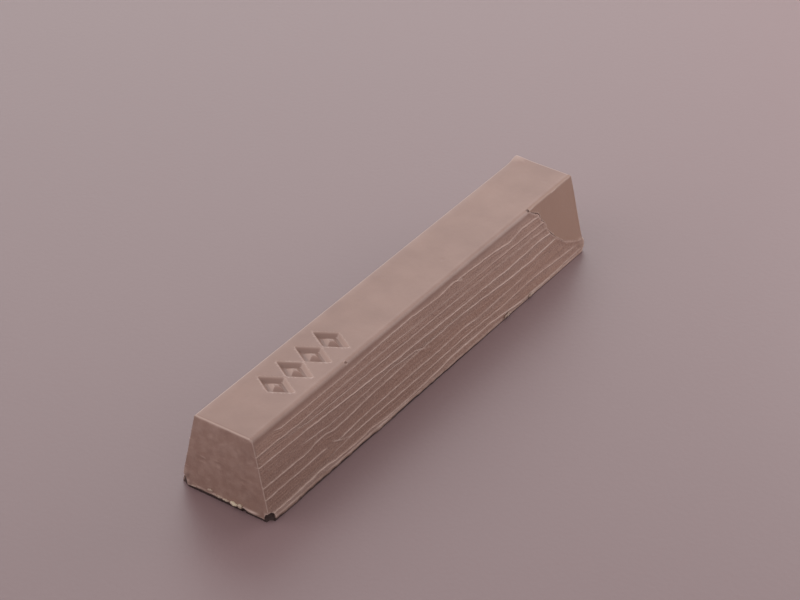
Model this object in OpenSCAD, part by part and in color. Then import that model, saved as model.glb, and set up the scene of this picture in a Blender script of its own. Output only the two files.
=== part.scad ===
// Furniture repair wax stick: one bar of hard wax, cast crown down in an open mould.
// X runs along the bar from its near end to its pouring end, and Z is up.
// The origin is the middle of the base, which is the face that the bar rests on.
// Left and right are as seen from the near end, so the right wall faces -Y.

/* [Bar] */
// Length of the base
bar_length = 80; // [60:1:110]
// Width of the base between the two long walls, without the lip
base_width = 15.3; // [13:0.1:20]
// Width of the crown, measured to the corners before they are rounded
crown_width = 9.7; // [8:0.1:12]
// Height from the base to the crown
bar_height = 12.8; // [10:0.1:16]
// How far each end leans in between the base and the crown
end_draft = 0.25; // [0.1:0.05:0.8]
// Rounding of the two long crown edges
crown_round = 0.6; // [0.2:0.05:1]
// Rounding of the two short crown edges
end_round = 0.35; // [0.1:0.05:0.8]

/* [Pour lip] */
// Height of the lip along the foot of each long wall
lip_height = 0.8; // [0.4:0.1:1.2]
// How far the lip stands out from the wall
lip_proud = 0.1; // [0.05:0.01:0.25]

/* [Jump lines] */
// Width of a jump line where it leaves the wall
line_width = 0.3; // [0.15:0.05:0.5]
// How far a jump line stands out from the wall
line_proud = 0.12; // [0.05:0.01:0.25]

/* [Smooth patch] */
// Length of the patch along the crown edge
patch_length = 11.8; // [6:0.2:18]
// How far the patch reaches down the wall at the pouring end
patch_drop = 10.7; // [6:0.1:10.9]
// Depth of the patch below the wall
patch_depth = 0.15; // [0.05:0.01:0.4]

/* [Crown mark] */
// Number of lozenges in the row
mark_count = 4; // [1:1:6]
// Distance between two lozenges
mark_pitch = 4.2; // [4:0.1:5]
// Width of a lozenge along the bar
mark_width = 3.8; // [2.5:0.1:3.9]
// Height of a lozenge across the crown
mark_height = 6.3; // [4:0.1:6.6]
// Depth of the pits
mark_depth = 0.6; // [0.3:0.05:1]
// Rise of the boss in the middle of each pit
boss_rise = 0.45; // [0.2:0.05:0.6]
// Distance from the near end to the middle of the row
mark_from_end = 18.2; // [16:0.1:24]

/* [Chips and nicks] */
// Edge length that is lost at the near end's left corner
left_chip = 1.5; // [0.5:0.1:2.5]
// Edge length that is lost at the near end's right corner
right_chip = 1.2; // [0.5:0.1:2.5]
// Edge length that is lost at the pouring end's right corner
far_chip = 0.9; // [0.5:0.1:2.5]
// Radius of the nicks in the right crown edge
nick_radius = 0.4; // [0.2:0.05:0.6]

/* [Crumbs] */
// Radius of the largest crumb
crumb_radius = 0.45; // [0.2:0.05:0.7]

/* [Hidden] */
$fn = 48;

// How far a cutting shape runs past what it cuts
overrun = 1;
// Flats that stand for each rounded crown edge
round_steps = 8;
// Straight runs in the curved border of the patch
patch_steps = 14;

wax_colour = [0.60, 0.48, 0.43];
crumb_colour = [0.74, 0.66, 0.54];

half_length = bar_length / 2;
half_base = base_width / 2;
half_crown = crown_width / 2;
// Lean of a long wall, and its length up the slope
wall_lean = atan2(half_base - half_crown, bar_height);
wall_slant = norm([half_base - half_crown, bar_height]);

// Jump lines of the right wall, top line first. Each point is its place along the bar from the
// near end, as a share of the length, and its place down the wall, as a share of the slant.
jump_line_shares = [
    [[0.06, 0.03], [0.08, 0.12], [0.25, 0.12], [0.46, 0.09], [0.54, 0.13], [0.61, 0.11], [0.76, 0.18],
        [0.83, 0.15], [0.9, 0.16]],
    [[-0.02, 0.21], [0.12, 0.235], [0.26, 0.21], [0.38, 0.215], [0.62, 0.245], [0.92, 0.27]],
    [[0.06, 0.24], [0.15, 0.295], [0.35, 0.315], [0.62, 0.325], [0.92, 0.365]],
    [[-0.02, 0.35], [0.12, 0.355], [0.24, 0.385], [0.41, 0.42], [0.6, 0.445], [0.78, 0.47], [0.93, 0.465]],
    [[0.12, 0.475], [0.2, 0.51], [0.35, 0.475], [0.45, 0.515]],
    [[-0.02, 0.59], [0.12, 0.607], [0.16, 0.572], [0.22, 0.6], [0.45, 0.545], [0.6, 0.55], [0.78, 0.6],
        [0.94, 0.587]],
    [[-0.02, 0.737], [0.17, 0.733], [0.22, 0.755], [0.27, 0.732], [0.5, 0.722], [0.6, 0.715], [0.8, 0.72]],
    [[0.19, 0.79], [0.24, 0.825], [0.45, 0.83], [0.6, 0.82], [0.72, 0.845], [0.85, 0.825], [0.96, 0.865]],
];
// Control points of the patch's border, as shares of its length and drop from the crown edge
patch_border_shares = [[0, 0], [0.32, 0.42], [0.39, 0.95], [1, 1]];
// Size of a pit's floor against its rim, and of a boss's foot and top against the pit's rim
floor_share = 0.74;
boss_foot_share = 0.46;
boss_top_share = 0.16;
// Nicks in the right crown edge, as shares of the length from the near end
nick_shares = [0.265, 0.845];
// How round a chip is: its radius against the edge length that it takes
chip_bend_share = 1.8;
// Crumbs at the near end: place across the base from its left corner, and size
near_crumb_shares = [[0.17, 0.6], [0.34, 0.75], [0.43, 0.6], [0.51, 0.65], [0.6, 1], [0.68, 0.8]];
// Crumbs at the right wall: place along the bar from its near end, and size
wall_crumb_shares = [[0.726, 0.9], [0.806, 0.75]];
// Lobes of a crumb: centre and radius
crumb_lobe_shares = [[[0, 0, 0.5], 0.62], [[0.5, 0.2, 0.38], 0.42], [[-0.3, -0.45, 0.4], 0.45]];

function arc(centre, radius, start, end) =
    [for (i = [0:round_steps]) let (t = start + (end - start) * i / round_steps)
        centre + radius * [cos(t), sin(t)]];

function bezier(p, t) =
    pow(1 - t, 3) * p[0] + 3 * t * pow(1 - t, 2) * p[1] + 3 * t * t * (1 - t) * p[2] + t * t * t * p[3];

// Half the width between two walls that lean in from half_foot to half_top, at height z
function half_width(half_foot, half_top, z) = half_foot + (half_top - half_foot) * z / bar_height;

// The crown's corner on one side, rounded, from the wall up to the crown
function rounded_corner(half_foot, half_top, radius) =
    let (lean = atan2(half_foot - half_top, bar_height))
    arc([half_top - radius * (1 - sin(lean)) / cos(lean), bar_height - radius], radius, lean, 90);

// The points of one side and their mirror image, as one closed outline
function both_sides(side) =
    concat(side, [for (i = [len(side) - 1:-1:0]) [-side[i].x, side[i].y]]);

// Outline across the bar: lip, leaning walls and rounded crown edges
module section_outline() {
    ledge = lip_height + lip_proud;
    lip = [
        [half_base + lip_proud, 0],
        [half_width(half_base, half_crown, lip_height) + lip_proud, lip_height],
        [half_width(half_base, half_crown, ledge), ledge],
    ];
    polygon(both_sides(concat(lip, rounded_corner(half_base, half_crown, crown_round))));
}

// Outline along the bar: leaning ends and rounded crown edges
module elevation_outline() {
    foot = [[half_length, 0]];
    polygon(both_sides(concat(foot, rounded_corner(half_length, half_length - end_draft, end_round))));
}

// The long walls and the crown, running past both ends
module long_walls() {
    rotate([90, 0, 90])
        linear_extrude(bar_length + 2 * overrun, center = true)
            section_outline();
}

// Everything between the two leaning ends
module between_ends() {
    rotate([90, 0, 0])
        linear_extrude(base_width + 2 * (lip_proud + crumb_radius + overrun), center = true)
            elevation_outline();
}

// Places its children on the right wall: X along the bar, Y up the slope from the foot, Z outwards
module on_right_wall() {
    translate([0, -half_base, 0])
        rotate([90 - wall_lean, 0, 0])
            children();
}

// One jump line: a low ridge with a three-sided section that follows the line's points
module jump_line(path_shares) {
    rings = [for (p = path_shares) let (x = (p.x - 1 / 2) * bar_length, y = (1 - p.y) * wall_slant)
        [[x, y + line_width, -line_proud], [x, y, line_proud], [x, y - line_width, -line_proud]]];
    last = len(rings) - 1;
    sides = [for (i = [0:last - 1], k = [0:2]) let (a = 3 * i + k, b = 3 * i + (k + 1) % 3)
        each [[a, a + 3, b], [b, a + 3, b + 3]]];
    caps = [[0, 1, 2], [3 * last, 3 * last + 2, 3 * last + 1]];
    polyhedron([for (ring = rings) each ring], concat(sides, caps));
}

module jump_lines() {
    for (path_shares = jump_line_shares)
        on_right_wall()
            jump_line(path_shares);
}

// The space in front of the smooth patch, which the hot stream of wax kept free of jump lines
module patch_space() {
    border = [for (i = [0:patch_steps]) let (p = bezier(patch_border_shares, i / patch_steps))
        [half_length - patch_length * (1 - p.x), wall_slant - patch_drop * p.y]];
    corners = [
        [half_length + overrun, wall_slant - patch_drop],
        [half_length + overrun, wall_slant + overrun],
        [half_length - patch_length, wall_slant + overrun],
    ];
    on_right_wall()
        translate([0, 0, -patch_depth])
            linear_extrude(patch_depth + line_proud + overrun)
                polygon(concat(border, corners));
}

module lozenge(share) {
    half_across = mark_height * share / 2;
    half_along = mark_width * share / 2;
    polygon([[half_along, 0], [0, half_across], [-half_along, 0], [0, -half_across]]);
}

// A lozenge that narrows from one share of the rim to another as it rises
module lozenge_block(foot_share, top_share, rise) {
    linear_extrude(rise, scale = top_share / foot_share)
        lozenge(foot_share);
}

// Places its children at each lozenge of the row, on the floor of its pit
module each_mark() {
    row_middle = mark_from_end - half_length;
    for (i = [0:mark_count - 1])
        translate([row_middle + (i - (mark_count - 1) / 2) * mark_pitch, 0, bar_height - mark_depth])
            children();
}

// One pit of the crown mark, open at the crown
module mark_pit() {
    lozenge_block(floor_share, 1, mark_depth);
    translate([0, 0, mark_depth])
        linear_extrude(overrun)
            lozenge(1);
}

// The boss that stands in a pit, rooted below its floor
module mark_boss() {
    translate([0, 0, -mark_depth])
        linear_extrude(mark_depth)
            lozenge(boss_foot_share);
    lozenge_block(boss_foot_share, boss_top_share, boss_rise);
}

// A round bite out of a base corner that takes the same length from each of its edges
module corner_chip(x_side, y_side, edge) {
    radius = edge * chip_bend_share;
    away = (sqrt(3 * radius * radius - 2 * edge * edge) - edge) / 3;
    translate([x_side * (half_length + away), y_side * (half_base + lip_proud + away), -away])
        sphere(radius);
}

module crown_nicks() {
    for (share = nick_shares)
        translate([(share - 1 / 2) * bar_length, -half_crown, bar_height])
            sphere(nick_radius);
}

module wax_bar() {
    color(wax_colour) {
        difference() {
            intersection() {
                union() {
                    long_walls();
                    jump_lines();
                    mirror([0, 1, 0]) jump_lines();
                }
                between_ends();
            }
            patch_space();
            each_mark() mark_pit();
            corner_chip(-1, 1, left_chip);
            corner_chip(-1, -1, right_chip);
            corner_chip(1, -1, far_chip);
            crown_nicks();
        }
        each_mark() mark_boss();
    }
}

// One rough crumb, lying on the ground with its middle over the origin
module crumb(radius) {
    hull()
        for (lobe = crumb_lobe_shares)
            translate(radius * lobe[0])
                sphere(radius * lobe[1], $fn = 16);
}

module below_ground() {
    translate([-bar_length, -base_width, -overrun])
        cube([2 * bar_length, 2 * base_width, overrun]);
}

// Crumbs that cling to the foot of the near end, each cut flat where it meets the bar
module near_end_crumbs() {
    color(crumb_colour)
        difference() {
            for (c = near_crumb_shares)
                translate([-half_length, half_base - c[0] * base_width, 0])
                    crumb(crumb_radius * c[1]);
            between_ends();
            below_ground();
        }
}

// Crumbs that cling to the foot of the right wall, each cut flat where it meets the bar
module long_wall_crumbs() {
    color(crumb_colour)
        difference() {
            for (c = wall_crumb_shares)
                translate([(c[0] - 1 / 2) * bar_length, -half_base - lip_proud, 0])
                    crumb(crumb_radius * c[1]);
            long_walls();
            below_ground();
        }
}

wax_bar();
near_end_crumbs();
long_wall_crumbs();
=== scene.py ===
"""Looks of a furniture repair wax stick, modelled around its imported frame.

The bar is blocked out from a cube whose rows follow the jump lines of the pour. Its walls then take
their relief, and cutters take out the smooth patch, the row of lozenges, the chips and the nicks.
X runs along the bar from its near end, Z is up, and the right wall faces -Y. Lengths are in metres.
"""

import contextlib
import math

import bmesh
import bpy
import numpy as np
from mathutils import Matrix, Vector, noise


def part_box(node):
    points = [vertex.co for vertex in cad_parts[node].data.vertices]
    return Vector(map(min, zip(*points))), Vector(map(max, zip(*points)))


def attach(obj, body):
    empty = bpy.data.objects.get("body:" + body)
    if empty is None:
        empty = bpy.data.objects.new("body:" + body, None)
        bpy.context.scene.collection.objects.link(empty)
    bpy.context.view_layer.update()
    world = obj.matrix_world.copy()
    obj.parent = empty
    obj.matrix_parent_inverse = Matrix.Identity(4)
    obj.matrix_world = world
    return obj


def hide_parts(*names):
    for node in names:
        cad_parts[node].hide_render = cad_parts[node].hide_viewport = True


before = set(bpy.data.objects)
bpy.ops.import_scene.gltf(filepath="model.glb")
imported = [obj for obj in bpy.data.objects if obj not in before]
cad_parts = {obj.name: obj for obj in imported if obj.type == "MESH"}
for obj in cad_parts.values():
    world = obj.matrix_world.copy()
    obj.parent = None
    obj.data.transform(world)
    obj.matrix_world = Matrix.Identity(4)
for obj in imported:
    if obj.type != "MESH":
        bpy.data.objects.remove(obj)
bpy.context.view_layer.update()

MM = 0.001

# Sizes of the bar

bar_low, bar_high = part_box("wax_bar")
LENGTH = bar_high.x - bar_low.x
HEIGHT = bar_high.z
LIP_PROUD = 0.1 * MM
# The lip starts with a low ledge, over this run from its line, and flares out below it. There is no flare
# from one share of the length on, and all of it up to the other.
LIP_LEDGE = 0.05 * MM
LEDGE_RUN = (-0.05 * MM, 0.1 * MM)
LIP_FLARE = 0.1 * MM
FLARE_RUN = (0.55, 0.3)
FLARE_HEIGHT = 0.7 * MM
# The lip dies away between these shares of the length, to this share of itself
LIP_FADE = (0.5, 0.8)
LIP_REMAINS = 0.1
BASE_WIDTH = bar_high.y - bar_low.y - 2 * LIP_PROUD
CROWN_WIDTH = 9.7 * MM
END_DRAFT = 0.25 * MM
# The bar has curled as it cooled. Height of its foot over the floor, at shares of the length from the
# near end, and how much the foot of the near end departs from that, at shares of the width from the left
FOOT_HEIGHTS = (
    (0, 0.42 * MM), (0.2, 0.36 * MM), (0.45, 0.31 * MM), (0.72, 0.17 * MM), (1, 0.1 * MM),
)
NEAR_FOOT_WAVE = (
    (0.05, -0.15 * MM), (0.2, 0.08 * MM), (0.5, 0.08 * MM), (0.62, -0.02 * MM), (0.75, -0.05 * MM),
    (0.95, -0.02 * MM),
)
# How far that wave runs along the bar and up the walls
WAVE_RUN = 4 * MM
WAVE_RISE = 0.8 * MM
# The face that touches the floor is this much smaller all round than the foot
FOOT_INSET = 0.05 * MM
WALL_SLANT = math.hypot(HEIGHT, (BASE_WIDTH - CROWN_WIDTH) / 2)
WALL_LEAN = math.atan2((BASE_WIDTH - CROWN_WIDTH) / 2, HEIGHT)

# Rounding of the edges, as the width of the bevel on each side of the edge
CROWN_BEVEL = 0.54 * MM
LEFT_CROWN_BEVEL = 0.22 * MM
END_BEVEL = 0.32 * MM
CORNER_BEVEL = 0.12 * MM
FOOT_BEVEL = 0.06 * MM
BEVEL_STEPS = 4

# Edges shorter than this are cleared up after a cut
SLIVER = 0.0001 * MM
# Vertices nearer than this are merged when a curve is made a mesh
SAME_PLACE = 0.001 * MM

# Layout of the rows and columns of faces
COLUMN_CUTS = 15
CROSS_CUTS = 27
ROWS_PER_LAYER = 10
CLEAR_OF_CROWN = 0.58 * MM
CLEAR_OF_END = 0.45 * MM
CLEAR_OF_WALL = 0.6 * MM
CLEAR_OF_FOOT = 0.1 * MM

# Jump lines of the right wall, top line first. Each point is its place along the bar from the near end
# and down the wall from the crown, both as shares, and the strength of the line there.
JUMP_LINES = (
    ((0.055, 0.078, 0), (0.07, 0.109, 0.7), (0.17, 0.115, 0.5), (0.25, 0.117, 0.7), (0.31, 0.105, 0.8),
     (0.45, 0.093, 1), (0.54, 0.124, 0.8), (0.585, 0.103, 1), (0.63, 0.115, 0.7), (0.73, 0.145, 0.8),
     (0.77, 0.183, 0.9), (0.815, 0.14, 1), (0.875, 0.159, 1.1)),
    ((-0.01, 0.207, 0.8), (0.06, 0.21, 0.7), (0.12, 0.229, 0.5), (0.2, 0.207, 0.6), (0.3, 0.207, 0.7),
     (0.4, 0.211, 0.6), (0.5, 0.23, 0.3), (0.62, 0.242, 0.3), (0.75, 0.256, 0.35), (0.89, 0.269, 0.7)),
    ((0.06, 0.232, 0), (0.15, 0.288, 0.5), (0.21, 0.298, 0.4), (0.35, 0.307, 0.5), (0.56, 0.318, 0.45),
     (0.75, 0.337, 0.3), (0.89, 0.361, 0.8)),
    ((-0.01, 0.337, 1), (0.12, 0.347, 1), (0.14, 0.354, 1), (0.24, 0.379, 1.1), (0.375, 0.41, 1),
     (0.56, 0.435, 0.9), (0.69, 0.449, 0.8), (0.75, 0.463, 0.9), (0.86, 0.447, 1), (0.9, 0.459, 1.2)),
    ((0.11, 0.464, 0), (0.14, 0.477, 0.6), (0.19, 0.5, 0.4), (0.3, 0.488, 0.4), (0.375, 0.464, 0.5),
     (0.44, 0.49, 0.7), (0.46, 0.503, 0)),
    ((-0.01, 0.576, 1), (0.12, 0.593, 0.9), (0.134, 0.589, 0.8), (0.142, 0.562, 0.9), (0.18, 0.558, 1),
     (0.192, 0.586, 0.9), (0.25, 0.584, 0.9), (0.3, 0.562, 0.9), (0.44, 0.532, 0.7), (0.56, 0.525, 0.9),
     (0.63, 0.539, 1), (0.75, 0.581, 1), (0.83, 0.593, 1), (0.91, 0.572, 1.2)),
    ((-0.01, 0.72, 0.9), (0.1, 0.718, 0.8), (0.165, 0.715, 0.9), (0.176, 0.718, 0), (0.2, 0.74, 0),
     (0.21, 0.739, 0.6), (0.26, 0.721, 0.9), (0.32, 0.708, 0.8), (0.5, 0.707, 0.6), (0.6, 0.698, 0.7),
     (0.64, 0.718, 0.5), (0.78, 0.707, 0.5), (0.84, 0.703, 0)),
    ((0.17, 0.84, 0), (0.2, 0.825, 0.5), (0.235, 0.804, 0.8), (0.45, 0.811, 0.6), (0.62, 0.806, 0.5),
     (0.72, 0.828, 0.5), (0.82, 0.805, 0.7), (0.93, 0.84, 0.7), (0.97, 0.852, 0.2)),
    ((-0.01, 0.91, 1.2), (0.06, 0.914, 1.2), (0.15, 0.893, 1.3), (0.17, 0.897, 1.3), (0.18, 0.917, 1.1),
     (0.25, 0.929, 1), (0.3, 0.915, 0.9), (0.34, 0.938, 1), (0.42, 0.939, 0.9), (0.5, 0.92, 0.9),
     (0.54, 0.891, 1), (0.62, 0.893, 1), (0.67, 0.896, 0.95), (0.74, 0.935, 0.8), (0.78, 0.957, 0.8),
     (0.86, 0.961, 0.8), (0.94, 0.943, 0.6), (1.01, 0.935, 0.5)),
)
# The line that the lip starts at, counted from the top
LIP_LINE = len(JUMP_LINES) - 1
# The lines keep this far apart, as a share of the wall
LEAST_GAP_SHARE = 0.02
# A line's corners are rounded by averaging it over these shifts along the bar, in shares
CORNER_SHIFTS = np.linspace(-0.006, 0.006, 5)
# Each line takes its waver this far across the noise from the last line's
LINE_NOISE_STEP = 10 * MM
# Height and half-width of a jump line of strength 1, and how steep its sides are
LINE_RISE = 0.08 * MM
LINE_SPREAD = 0.052 * MM
CREST_STEEPNESS = 1.6
# Half-width of a line's pale crest and of the faint halo round it, and the halo's share
PALE_SPREAD = 0.062 * MM
HALO_SPREAD = 0.28 * MM
HALO_SHARE = 0.18
# How far the layer under a jump line stands out, and how far down that fades
LAP_RISE = 0.035 * MM
LAP_FADE = 0.7 * MM
# On the left wall, which has no smooth patch, the jump lines carry on to the end with their strength here
LEFT_LINE_REACH = 0.86

# Short slanting folds of the right wall, as points along and down in shares
FOLDS = (
    ((0.19, 0.689), (0.207, 0.742), (0.235, 0.803)),
    ((0.452, 0.498), (0.472, 0.539), (0.494, 0.578)),
    ((0.592, 0.1), (0.606, 0.125), (0.62, 0.152)),
)
FOLD_RISE = 0.09 * MM
FOLD_SPREAD = 0.07 * MM
# A trench runs above each fold, this many spreads away
TRENCH_PLACE = 1.8

# Smooth patch at the pouring end of the right wall: its border from the crown to the end, in shares
PATCH_BORDER = (
    (0.846, -0.059), (0.849, 0.029), (0.862, 0.088), (0.875, 0.146), (0.88, 0.234), (0.89, 0.303),
    (0.895, 0.41), (0.906, 0.498), (0.922, 0.605), (0.944, 0.708), (0.97, 0.791), (0.985, 0.825),
    (1.03, 0.83),
)
PATCH_DEPTH = 0.12 * MM
# Its cutter: how far it reaches along from the middle of the bar and up the wall, as shares, how thick it
# and its trim are, the steps of its uneven side, and the steps from one point of the border to the next
PATCH_REACH = 0.53
PATCH_TOP = 1.06
PATCH_CUTTER_THICKNESS = 1.5 * MM
PATCH_TRIM_THICKNESS = 4 * MM
PATCH_GRID = (60, 50)
CURVE_STEPS = 4
# The wall stands proud along that border, by this much and over this width
RIM_RISE = 0.09 * MM
RIM_SPREAD = 0.3 * MM
# Crevice along the upper part of the border: its width at each of the border's points, as shares of its
# radius, then that radius and how deep its middle lies
CREVICE_SHARES = (0.4, 0.5, 0.7, 1.1, 1.1, 0.6, 0.8, 1.1, 0.5, 0.2)
CREVICE_RADIUS = 0.17 * MM
CREVICE_DEPTH = 0.16 * MM
CREVICE_STEPS = 2

# Row of lozenges in the crown
MARK_COUNT = 4
MARK_PITCH = 4.2 * MM
MARK_WIDTH = 3.8 * MM
MARK_HEIGHT = 6.3 * MM
MARK_FROM_END = 18.2 * MM
MARK_CORNER = 0.35 * MM
MARK_CORNER_STEPS = 3
# Rings of the tool that presses a lozenge: size as a share of the rim, and height over the crown
MARK_RINGS = (
    (1.10, 0.02 * MM), (1.05, -0.03 * MM), (1.0, -0.1 * MM), (0.95, -0.2 * MM), (0.82, -0.48 * MM),
    (0.76, -0.57 * MM), (0.68, -0.6 * MM), (0.52, -0.59 * MM), (0.45, -0.53 * MM), (0.27, -0.24 * MM),
    (0.2, -0.16 * MM), (0.1, -0.13 * MM),
)

# Chips at the base corners: side of the bar along X and Y, height, reach along X, Y and Z, and how flat
# the break is
CHIPS = (
    (-1, 1, 0, Vector((0.6, 1.25, 3.2)) * MM, 1.6),
    (-1, -1, 0.5 * MM, Vector((1.2, 1.1, 1.0)) * MM, 0.86),
    (1, -1, 0, Vector((0.7, 0.7, 0.9)) * MM, 1.2),
)
# Rough balls cut the chips and nicks and make the crumbs: how finely they are divided, how many times the
# noise is laid over them, and the height and width of their bumps as shares of their reach
LUMP_CUTS = 4
LUMP_LAYERS = 3
CHIP_ROUGHNESS = 0.22
NICK_ROUGHNESS = 0.5
CRUMB_ROUGHNESS = 0.5
BREAK_FINENESS = 0.6
CRUMB_FINENESS = 0.9
# Notch in the foot of the near end: place across from the left wall, as a share, height and radius
FOOT_NOTCH = (0.71, 0.35 * MM, 0.45 * MM)
# Nicks in the right crown edge: place along the bar, as a share, and radius
NICKS = ((0.268, 0.36 * MM), (0.846, 0.36 * MM))

# Dents in the crown: place along the bar and across from the left wall, as shares, and radius
DENTS = (
    (0.62, 0.66, 0.5 * MM), (0.656, 0.58, 0.35 * MM), (0.088, 0.56, 0.3 * MM), (0.95, 0.77, 0.4 * MM),
)
DENT_DEPTH = 0.05 * MM
# Dents in the near end: place across from the left wall and down from the crown, as shares, and radius
END_DENTS = (
    (0.22, 0.547, 0.55 * MM), (0.43, 0.527, 0.6 * MM), (0.75, 0.605, 0.6 * MM), (0.56, 0.645, 0.4 * MM),
)
END_DENT_DEPTH = 0.12 * MM
# Shape of a dent: the hollow's spread and the rim's, as shares of the radius, and the rim's height as a
# share of the depth
DENT_HOLLOW = 0.7
DENT_RIM_SPREAD = 0.25
DENT_RIM_HEIGHT = 0.5
# Burrs, which stand proud and pale: middle as shares of the length, width and height, radius, and rise
BURRS = (
    (Vector((0.492, 0.47, 1)), 1.5 * MM, Vector((0, 0.2, 0.13)) * MM),
    (Vector((0.494, -0.478, 0.13)), 0.8 * MM, Vector((0.06, -0.16, 0)) * MM),
)

# Flash along the foot of the near end: how proud it stands, its height over the floor and its thickness,
# and the stretch of the foot that it follows, with a ramp at both ends, in shares from the left corner
FLASH_PROUD = 0.2 * MM
FLASH_HEIGHT = 0.72 * MM
FLASH_SPREAD = 0.18 * MM
FLASH_START = 0.12
FLASH_END = 0.92
FLASH_RAMP = 0.1
# How much of it there usually is, and the most, as shares of its full stand
FLASH_USUAL = 0.45
FLASH_MOST = 1.2

# Crumbs at the near end: place across the base from its left corner, as a share, height of the middle,
# reach along X, Y and Z, and how creamy the wax is
NEAR_CRUMBS = (
    (0.15, 0.6 * MM, Vector((0.12, 0.4, 0.13)) * MM, 0),
    (0.335, 1.15 * MM, Vector((0.09, 0.45, 0.24)) * MM, 0.1),
    (0.43, 0.78 * MM, Vector((0.18, 0.6, 0.16)) * MM, 0.1),
    (0.51, 0.74 * MM, Vector((0.2, 0.55, 0.15)) * MM, 0.25),
    (0.605, 0.78 * MM, Vector((0.3, 0.68, 0.27)) * MM, 1),
    (0.675, 0.85 * MM, Vector((0.3, 0.36, 0.32)) * MM, 0.35),
)
# Crumbs at the right wall: place along the bar from its near end, and the rest as above
WALL_CRUMBS = (
    (0.726, 0.55 * MM, Vector((0.9, 0.12, 0.24)) * MM, 0.1),
    (0.806, 0.5 * MM, Vector((0.7, 0.12, 0.22)) * MM, 0.1),
)
# How far a crumb's middle stands out of the near end, as a share of its reach
CRUMB_PROUD = 0.3

# Unevenness is a sum of ripples: height, wavelength and seed of each. A line's waver is in shares of the
# wall, and what is ragged is in shares of its own size.
LINE_WAVER = ((0.005, 1.7 * MM, 3), (0.004, 6 * MM, 5), (0.003, 0.7 * MM, 4))
LINE_RAGGED = ((0.4, 0.7 * MM, 7), (0.3, 1.5 * MM, 8), (0.3, 5 * MM, 9))
LIP_RAGGED = ((0.5, 1.1 * MM, 21), (0.3, 4 * MM, 22))
WALL_UNEVEN = ((0.02 * MM, 3.5 * MM, 31), (0.012 * MM, 1.2 * MM, 32))
END_UNEVEN = ((0.05 * MM, 2.4 * MM, 41), (0.03 * MM, 1 * MM, 42))
FLAT_UNEVEN = ((0.02 * MM, 7 * MM, 51), (0.008 * MM, 2 * MM, 52))
PATCH_UNEVEN = ((0.02 * MM, 3 * MM, 61),)
FLASH_RAGGED = ((0.9, 1.5 * MM, 71), (0.5, 0.5 * MM, 72))
BURR_RAGGED = ((0.8, 0.6 * MM, 81),)
FOOT_LINE_RAGGED = ((1, 1.5 * MM, 91),)
# Way from one seed to the next in the noise
SEED_STEP = np.array((1, 2.7, -1.3))

# The crown sinks by this much on average, over this run from its rim, and the base by so many times that
CROWN_SINK = 0.02 * MM
SINK_RUN = 3 * MM
BASE_SINK = 2
# A wall's relief moves all that lies this near its plane, and fades out at this depth
RELIEF_DEPTHS = (0.1 * MM, 0.6 * MM)
# Shares down from the crown between which an end has its relief
END_RELIEF_TOP = 0.05
END_RELIEF_FOOT = 0.98
# A vertex this near a face lies on it, and this near a flat face lies in it
ON_FACE = 0.05 * MM
IN_FLAT = 0.01 * MM

BAR_SMOOTH_ANGLE = math.radians(38)
CRUMB_SMOOTH_ANGLE = math.radians(40)


def half_length(z):
    return LENGTH / 2 - END_DRAFT * z / HEIGHT


def foot_height(along):
    return np.interp(along, *zip(*FOOT_HEIGHTS))


def foot_edge(along, across):
    """Height of the foot's edge, at shares along the bar and across it from the left wall"""
    wave = np.interp(across, *zip(*NEAR_FOOT_WAVE)) * np.exp(-along * LENGTH / WAVE_RUN)
    return foot_height(along) + wave


def half_width(z):
    return BASE_WIDTH / 2 + (CROWN_WIDTH - BASE_WIDTH) / 2 * z / HEIGHT


def smooth_step(x, low, high):
    """0 at low, 1 at high, and a smooth rise between them"""
    t = np.clip((x - low) / (high - low), 0, 1)
    return t * t * (3 - 2 * t)


def bell(x, middle, spread):
    return np.exp(-((x - middle) / spread) ** 2)


def uneven(places, ripples):
    """Sum of the ripples at each place, each of them smooth noise of about its height"""
    total = np.zeros(len(places))
    for height, wavelength, seed in ripples:
        shift = Vector(seed * SEED_STEP)
        total += height * np.array([noise.noise(Vector(place) / wavelength + shift) for place in places])
    return total


# Hand tools

def deselect_all():
    bpy.ops.object.select_all(action="DESELECT")


def add(primitive, **settings):
    """Adds a primitive with nothing else selected"""
    deselect_all()
    primitive(**settings)
    return bpy.context.object


def make_active(piece):
    deselect_all()
    piece.select_set(True)
    bpy.context.view_layer.objects.active = piece


@contextlib.contextmanager
def editing(piece, pick="FACE", whole=False):
    """Edit mode on one piece, picking vertices, edges or faces, or with the whole piece selected"""
    make_active(piece)
    bpy.context.tool_settings.mesh_select_mode = [pick == kind for kind in ("VERT", "EDGE", "FACE")]
    bpy.ops.object.mode_set(mode="EDIT")
    if whole:
        bpy.ops.mesh.select_all(action="SELECT")
    yield
    bpy.ops.object.mode_set(mode="OBJECT")


def read(items, name, width, kind=float):
    values = np.empty(len(items) * width, dtype=kind)
    items.foreach_get(name, values)
    return values.reshape(-1, width)


def vertex_places(mesh):
    return read(mesh.vertices, "co", 3)


def put_vertices(mesh, places):
    mesh.vertices.foreach_set("co", places.ravel())
    mesh.update()


def put_attribute(mesh, name, values):
    attribute = mesh.attributes.new(name, "FLOAT", "POINT")
    attribute.data.foreach_set("value", np.asarray(values, dtype=float))


def edge_ends(mesh):
    return read(mesh.edges, "vertices", 2, int)


def pick_only(mesh, edges=None, faces=None):
    """Selects just these edges or faces, given as arrays of true and false"""
    for items, chosen in ((mesh.vertices, None), (mesh.edges, edges), (mesh.polygons, faces)):
        nothing = np.zeros(len(items), dtype=bool)
        items.foreach_set("select", nothing if chosen is None else chosen)


def modify(piece, kind, **settings):
    """Adds a modifier and applies it"""
    modifier = piece.modifiers.new(kind, kind)
    for name, setting in settings.items():
        setattr(modifier, name, setting)
    make_active(piece)
    bpy.ops.object.modifier_apply(modifier=modifier.name)


def apply_place(piece):
    make_active(piece)
    bpy.ops.object.transform_apply(location=True, rotation=True, scale=True)


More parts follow.
